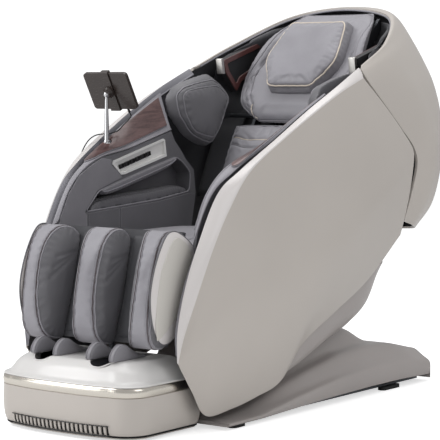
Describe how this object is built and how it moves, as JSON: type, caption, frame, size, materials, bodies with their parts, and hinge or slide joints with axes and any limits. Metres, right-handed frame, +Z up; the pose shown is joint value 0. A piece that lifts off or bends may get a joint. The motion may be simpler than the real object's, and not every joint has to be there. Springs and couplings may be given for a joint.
{
  "type": "reclining massage chair",
  "caption": "Reclining massage chair with moulded side shells, hooded backrest, lifting calf rest, sliding foot box, massage carriage, arm tray and tablet stand.",
  "frame": {"origin": "middle of the bounding box at floor level", "axes": "+Z up, front of the chair faces -Y, the sitter's left is +X"},
  "size_m": [0.7816, 1.5574, 1.188],
  "materials": {
    "shell": "satin",
    "leather": "satin",
    "dark_leather": "satin",
    "wood": "satin",
    "black_plastic": "matte",
    "chrome": "polished",
    "champagne_trim": "satin",
    "steel": "satin",
    "rubber": "matte",
    "glass": "gloss",
    "tray": "satin",
    "red_plastic": "gloss"
  },
  "bodies": {
    "base": {"base_cover": "shell", "base_chassis": "steel", "base_feet": "rubber", "power_inlet": "black_plastic"},
    "switch": {"power_switch": "red_plastic"},
    "pod": {"seat_frame": "steel", "side_shell_left": "shell", "side_shell_right": "shell", "under_shell": "shell", "arm_lining_left": "dark_leather", "arm_lining_right": "dark_leather", "arm_top_left": "leather", "arm_top_right": "leather", "wood_inlay_left": "wood", "wood_inlay_right": "wood", "control_tray": "tray", "arm_airbags_left": "leather", "arm_airbags_right": "leather", "seat_cushion": "dark_leather", "stand_collar": "chrome", "cable_lower": "rubber"},
    "stand": {"stand_post": "chrome", "cable_upper": "rubber"},
    "tablet": {"tablet_clamp": "black_plastic", "tablet": "black_plastic", "tablet_screen": "glass", "cable_plug": "black_plastic"},
    "backrest": {"rear_shell": "shell", "back_lining": "leather", "back_rails": "steel", "back_cushion": "leather", "head_cushion": "leather", "head_pillow": "leather", "shoulder_pad_left": "leather", "shoulder_pad_right": "leather", "speaker_left": "wood", "speaker_right": "wood"},
    "carriage": {"massage_carriage": "steel"},
    "kneader_left": {"kneading_arm_left": "black_plastic"},
    "kneader_right": {"kneading_arm_right": "black_plastic"},
    "legrest": {"calf_frame": "steel", "calf_pad_left": "leather", "calf_pad_centre": "leather", "calf_pad_right": "leather", "calf_cap_left": "shell", "calf_cap_right": "shell"},
    "footrest": {"foot_shell": "shell", "foot_trim": "champagne_trim", "foot_deck": "shell", "toe_pad_left": "leather", "toe_pad_right": "leather"},
    "foot_roll_front": {"foot_roller_front": "black_plastic"},
    "foot_roll_rear": {"foot_roller_rear": "black_plastic"},
    "key_1": {"key_1": "black_plastic"},
    "key_2": {"key_2": "black_plastic"},
    "key_3": {"key_3": "black_plastic"},
    "key_4": {"key_4": "black_plastic"},
    "key_5": {"key_5": "black_plastic"},
    "key_6": {"key_6": "black_plastic"}
  },
  "joints": [
    {"name": "pod_tilt", "type": "hinge", "parent": "base", "child": "pod", "pos_m": [0, 0.145, 0.25], "axis": [-1, 0, 0], "range_deg": [0, 12]},
    {"name": "back_recline", "type": "hinge", "parent": "pod", "child": "backrest", "pos_m": [0, 0.11, 0.405], "axis": [-1, 0, 0], "range_deg": [0, 28]},
    {"name": "leg_lift", "type": "hinge", "parent": "pod", "child": "legrest", "pos_m": [0, -0.415, 0.408], "axis": [-1, 0, 0], "range_deg": [0, 75]},
    {"name": "foot_extend", "type": "slide", "parent": "legrest", "child": "footrest", "axis": [0, -0.2588, -0.9659], "range_m": [0, 0.12]},
    {"name": "front_roller_spin", "type": "hinge", "parent": "footrest", "child": "foot_roll_front", "pos_m": [0, -0.66, 0.046], "axis": [1, 0, 0], "continuous": true},
    {"name": "rear_roller_spin", "type": "hinge", "parent": "footrest", "child": "foot_roll_rear", "pos_m": [0, -0.585, 0.046], "axis": [1, 0, 0], "continuous": true},
    {"name": "stand_swivel", "type": "hinge", "parent": "pod", "child": "stand", "pos_m": [-0.283, -0.232, 0.766], "axis": [0, 0, 1], "range_deg": [-60, 60], "deforming": ["cable_lower"]},
    {"name": "tablet_tilt", "type": "hinge", "parent": "stand", "child": "tablet", "pos_m": [-0.283, -0.232, 0.908], "axis": [1, 0, 0], "range_deg": [-20, 25], "deforming": ["cable_upper"]},
    {"name": "key_1_press", "type": "slide", "parent": "pod", "child": "key_1", "axis": [-1, 0, 0], "range_m": [0, 0.0015], "stiffness_N_per_m": 600},
    {"name": "key_2_press", "type": "slide", "parent": "pod", "child": "key_2", "axis": [-1, 0, 0], "range_m": [0, 0.0015], "stiffness_N_per_m": 600},
    {"name": "key_3_press", "type": "slide", "parent": "pod", "child": "key_3", "axis": [-1, 0, 0], "range_m": [0, 0.0015], "stiffness_N_per_m": 600},
    {"name": "key_4_press", "type": "slide", "parent": "pod", "child": "key_4", "axis": [-1, 0, 0], "range_m": [0, 0.0015], "stiffness_N_per_m": 600},
    {"name": "key_5_press", "type": "slide", "parent": "pod", "child": "key_5", "axis": [-1, 0, 0], "range_m": [0, 0.0015], "stiffness_N_per_m": 600},
    {"name": "key_6_press", "type": "slide", "parent": "pod", "child": "key_6", "axis": [-1, 0, 0], "range_m": [0, 0.0015], "stiffness_N_per_m": 600},
    {"name": "power_rocker", "type": "hinge", "parent": "base", "child": "switch", "pos_m": [-0.123, 0.62, 0.041], "axis": [1, 0, 0], "range_deg": [0, 8]},
    {"name": "carriage_travel", "type": "hinge", "parent": "backrest", "child": "carriage", "pos_m": [0, 1.498, 0.106], "axis": [-1, 0, 0], "range_deg": [-5, 10]},
    {"name": "knead_left", "type": "hinge", "parent": "carriage", "child": "kneader_left", "pos_m": [0, 0.2839, 0.64655], "axis": [1, 0, 0], "range_deg": [-4.5, 4.5]},
    {"name": "knead_right", "type": "hinge", "parent": "carriage", "child": "kneader_right", "pos_m": [0, 0.2839, 0.64655], "axis": [1, 0, 0], "range_deg": [-4.5, 4.5]}
  ],
  "couplings": [
    {"joint": "knead_right", "follows": "knead_left", "ratio": -1},
    {"joint": "rear_roller_spin", "follows": "front_roller_spin", "ratio": 1}
  ]
}
